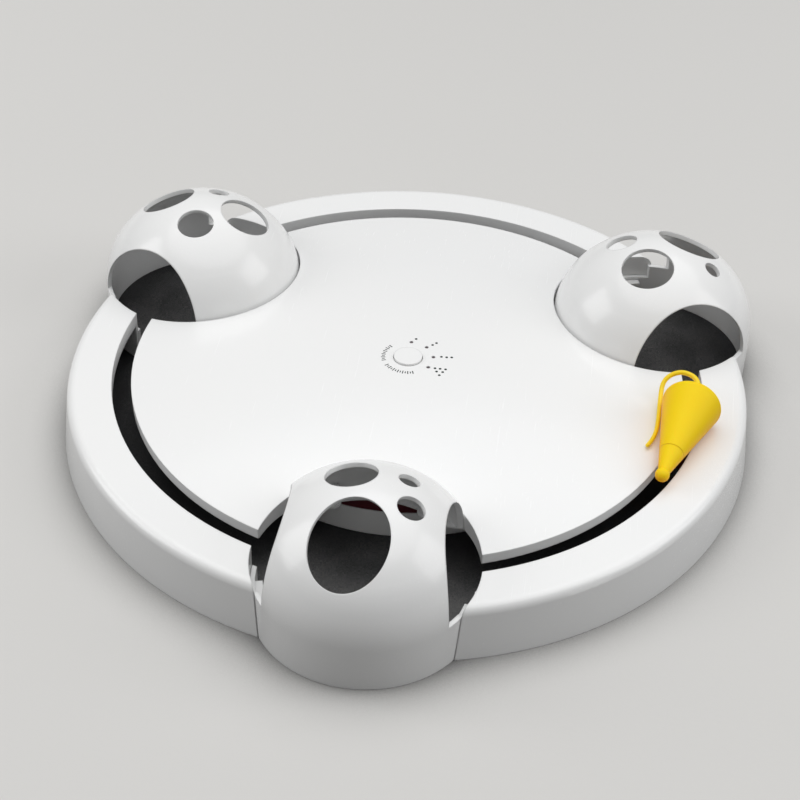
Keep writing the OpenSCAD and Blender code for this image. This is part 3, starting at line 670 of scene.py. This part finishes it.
def print_speed_dots():
    """Printed marks for the four speeds: one, two, three and six dots."""
    layout = Layout("speed_dots")
    disc = {"Radius": layout.size("Dot diameter") * 0.5, "Depth": layout.size("Ink thickness")}
    dot = layout.node("GeometryNodeMeshCylinder", {}, {"Vertices": DOT_SIDES, **disc})
    layout.close(layout.scatter(dot), INK)
    spots = mark_spots("dot_spots", [(on_deck(*spot), (0, 0, 0), 0) for spot in SPEED_DOTS])
    sizes = {"Dot diameter": DOT_D, "Ink thickness": INK_T}
    fit(layout.run("speed_dots", spots, sizes), "base", "switch_black")


def print_dial_ticks():
    """A printed scale of plain strokes round the button."""
    layout = Layout("dial_ticks")
    bar = layout.vector(1.0, layout.size("Stroke width"), layout.size("Ink thickness"))
    stroke = layout.node("GeometryNodeMeshCube", {}, {"Size": bar})
    layout.close(layout.scatter(stroke, layout.vector(layout.own("length"), 1.0, 1.0)), INK)
    spots = []
    for first, last in TICK_ARCS:
        for k in range(int((last - first) / TICK_PITCH) + 1):
            angle = first + k * TICK_PITCH
            spots.append((on_deck(TICK_R, angle), (0, 0, radians(angle)), TICK_LENGTHS[k % 2]))
    sizes = {"Stroke width": TICK_W, "Ink thickness": INK_T}
    fit(layout.run("dial_ticks", mark_spots("tick_spots", spots), sizes), "base", "switch_black")


def screw_layout():
    """Pan head screws with a cross recess, each on a shank of its own length."""
    layout = Layout("cross_screws")
    blank = layout.shape("Head")
    reach, width = layout.size("Recess length"), layout.size("Recess width")
    depth = layout.size("Recess depth") * 2
    arms = [
        layout.node("GeometryNodeMeshCube", {}, {"Size": layout.vector(reach, width, depth)}),
        layout.node("GeometryNodeMeshCube", {}, {"Size": layout.vector(width, reach, depth)}),
    ]
    head = layout.node("GeometryNodeMeshBoolean", {"operation": "DIFFERENCE"}, {0: blank, 1: arms})
    rod_sizes = {"Vertices": SCREW_SHANK_SIDES, "Radius": layout.size("Shank radius"), "Depth": 1.0}
    rod = layout.node("GeometryNodeMeshCylinder", {}, rod_sizes)
    shank = layout.node("GeometryNodeTransform", {}, {"Geometry": rod, "Translation": (0, 0, -0.5)})
    shanks = layout.scatter(shank, layout.vector(1.0, 1.0, layout.own("length")))
    screws = layout.node("GeometryNodeJoinGeometry", {}, {0: [layout.scatter(head), shanks]})
    layout.close(screws, SCREW_STEEL)
    return layout


def drive_screws(layout, head, name, body, up, down):
    """Screws in the places of solids whose heads face up or down."""
    spots = []
    for node in up + down:
        low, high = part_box(node)
        middle = (low + high) / 2
        face = high.z if node in up else low.z
        turn = (0 if node in up else pi, 0, SCREW_TURN * len(spots))
        spots.append((Vector((middle.x, middle.y, face)), turn, high.z - low.z - SCREW_SHANK_SHORT))
    sizes = {
        "Head": head,
        "Recess length": RECESS_L,
        "Recess width": RECESS_W,
        "Recess depth": RECESS_DEPTH,
        "Shank radius": SCREW_SHANK_R,
    }
    fit(layout.run(name, mark_spots(name + "_spots", spots), sizes), body, "screw_steel", *up, *down)


def numbered(stem, count):
    """The names of like nodes."""
    return [f"{stem}_{k + 1}" for k in range(count)]


def fit_screws():
    """All screws, from one head with a rounded rim."""
    rim, crown = 1 - SCREW_HEAD_FLAT, SCREW_HEAD_CROWN * SCREW_HEAD_H
    bends = [acos(1 - k / RIM_STEPS) for k in range(RIM_STEPS + 1)]
    curve = [(SCREW_HEAD_R * (SCREW_HEAD_FLAT + rim * sin(a)), -crown * (1 - cos(a))) for a in bends]
    profile = [(0, 0), *curve, (SCREW_HEAD_R, -SCREW_HEAD_H), (0, -SCREW_HEAD_H)]
    head = stand("screw_head_blank", turn_shape("screw_head_blank", profile, SCREW_HEAD_SIDES))
    layout = screw_layout()
    down = numbered("hub_screw", 4) + numbered("dome_screw", 6) + numbered("board_screw", 4)
    drive_screws(layout, head, "base_screws", "base", numbered("bracket_screw", 2), down)
    drive_screws(layout, head, "arm_screws", "rotor", numbered("arm_screw", 2), [])
    bpy.data.objects.remove(head)


def shape_layout(name, finish):
    """One turned shape repeated on its spots."""
    layout = Layout(name)
    shape = layout.shape("Shape")
    scale = layout.size("Width")
    layout.close(layout.scatter(shape, layout.vector(scale, scale, 1.0)), finish)
    return layout


def repeat_shape(name, profile, nodes, slot, finish):
    """A turned shape of unit radius in the place of each node, which it stands for."""
    shape = stand(name + "_shape", turn_shape(name + "_shape", profile, TURNED_SIDES))
    spots = []
    for node in nodes:
        low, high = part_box(node)
        spots.append((Vector(((low.x + high.x) / 2, (low.y + high.y) / 2, 0)), (0, 0, 0), 0))
    sizes = {"Shape": shape, "Width": (high.x - low.x) / 2}
    made = shape_layout(name, finish).run(name, mark_spots(name + "_spots", spots), sizes)
    fit(made, "base", slot, *nodes)
    bpy.data.objects.remove(shape)


def fit_pads():
    """Ribbed rubber pads, flush with the tub."""
    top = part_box("foot_1")[1].z
    ribs = [(share, PAD_GROOVE * sunk) for share, sunk in PAD_RIBS]
    profile = [(0, top), (1, top), (1, PAD_BEVEL), *ribs]
    repeat_shape("rubber_pads", profile, numbered("foot", 4), "pad_rubber", PAD)


def fit_lamps():
    """Domed lamp lenses on their flanges."""
    low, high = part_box("led_1")
    flange_r = (high.x - low.x) / 2
    stem = LAMP_R / flange_r
    arc = [k * pi / (2 * LENS_STEPS) for k in range(LENS_STEPS)]
    lens = [(stem * cos(a), high.z - LAMP_RISE + LAMP_RISE * sin(a)) for a in arc]
    profile = [(0, low.z), (1, low.z), (1, LAMP_FLANGE_Z), (stem, LAMP_FLANGE_Z), *lens, (0, high.z)]
    repeat_shape("lamp_lenses", profile, numbered("led", 4), "lamp_red", LAMP)


def smooth_path(points, steps):
    """Points on a smooth curve through the given ones."""
    ends = [2 * points[0] - points[1], *points, 2 * points[-1] - points[-2]]
    path = []
    for before, start, end, after in zip(ends, ends[1:], ends[2:], ends[3:]):
        for k in range(steps):
            t = k / steps
            square = (2 * before - 5 * start + 4 * end - after) * t ** 2
            cube = (3 * start - before - 3 * end + after) * t ** 3
            path.append(start + ((end - before) * t + (square + cube)) / 2)
    return path + [points[-1]]


def draw_tail():
    """The rubber tail, thinner towards its rounded tip."""
    layout = Layout("tail_sweep")
    round_wire = {"Resolution": TAIL_SIDES, "Radius": layout.size("Thickness") * 0.5}
    wire = layout.node("GeometryNodeCurvePrimitiveCircle", {}, round_wire)
    inputs = {"Curve": layout.spots, "Profile Curve": wire, "Fill Caps": True}
    inputs["Scale"] = layout.node("GeometryNodeInputRadius", {}, {})
    layout.close(layout.node("GeometryNodeCurveToMesh", {}, inputs), LEMON)
    path = smooth_path([mouse_point(*(v * MM for v in p)) for p in TAIL_ROUTE], TAIL_STEPS)
    walked = [0.0]
    for start, end in zip(path, path[1:]):
        walked.append(walked[-1] + (end - start).length)
    length = walked[-1]
    tip_r = TAIL_D / 2 * TAIL_TIP
    stations = [(p, d) for p, d in zip(path, walked) if d < length - tip_r]
    last, ahead = path[-1], (path[-1] - path[-2]).normalized()
    for k in range(TIP_STEPS):
        left = tip_r * (1 - sin(k * pi / TIP_DIVISION))
        stations.append((last - ahead * left, length - left))
    curve = bpy.data.curves.new("tail_path", "CURVE")
    curve.dimensions = "3D"
    spline = curve.splines.new("POLY")
    spline.points.add(len(stations) - 1)
    for point, (place, distance) in zip(spline.points, stations):
        left = min(1, (length - distance) / tip_r)
        point.co = (*place, 1)
        point.radius = (1 - (1 - TAIL_TIP) * distance / length) * sqrt(left * (2 - left))
    tail = layout.run("tail_rubber", curve, {"Thickness": TAIL_D})
    tail.data.shade_smooth()
    fit(tail, "rotor", "tail_rubber", "mouse_tail")


print_speed_dots()
print_dial_ticks()
fit_screws()
fit_pads()
fit_lamps()
draw_tail()


# Stage

FLOOR_R = 24
AIM = Vector((0, 0, 0.03))
KEY_FROM = Vector((0.1, 0.3, 1.8))
KEY_STRENGTH = 1.66
KEY_SPREAD = radians(76)
SOFTBOX_W = 1.0
LEFT_SPOT = Vector((-1.5, -0.1, 0.9))
LEFT_POWER = 8
RIGHT_SPOT = Vector((1.5, 0.0, 0.9))
RIGHT_POWER = 7
SKY_STRENGTH = 0.36


def lay_floor():
    """A wide round floor that isn't part of the toy."""
    form = bmesh.new()
    bmesh.ops.create_circle(form, cap_ends=True, segments=96, radius=FLOOR_R)
    mesh = bpy.data.meshes.new("floor")
    form.to_mesh(mesh)
    form.free()
    mesh.materials.append(floor_paper())
    stand("floor", mesh)


def hang_softbox(name, spot, power):
    """A square lamp aimed at the middle of the toy."""
    data = bpy.data.lights.new(name, "AREA")
    data.shape = "SQUARE"
    data.size = SOFTBOX_W
    data.energy = power
    lamp = stand(name, data)
    lamp.location = spot
    lamp.rotation_euler = (AIM - spot).to_track_quat("-Z", "Y").to_euler()


def hang_key_lamp():
    """A wide soft light from far above that reaches the floor evenly."""
    data = bpy.data.lights.new("key_lamp", "SUN")
    data.energy = KEY_STRENGTH
    data.angle = KEY_SPREAD
    lamp = stand("key_lamp", data)
    lamp.rotation_euler = (-KEY_FROM).to_track_quat("-Z", "Y").to_euler()


def light_studio():
    """A soft key light, a softbox on either side and a dim grey surround."""
    hang_key_lamp()
    hang_softbox("left_lamp", LEFT_SPOT, LEFT_POWER)
    hang_softbox("right_lamp", RIGHT_SPOT, RIGHT_POWER)
    world = bpy.data.worlds.new("studio")
    world.use_nodes = True
    sky = world.node_tree.nodes["Background"]
    sky.inputs["Color"].default_value = colour(214, 214, 213)
    sky.inputs["Strength"].default_value = SKY_STRENGTH
    bpy.context.scene.world = world
    bpy.context.scene.view_settings.view_transform = "Standard"


lay_floor()
light_studio()
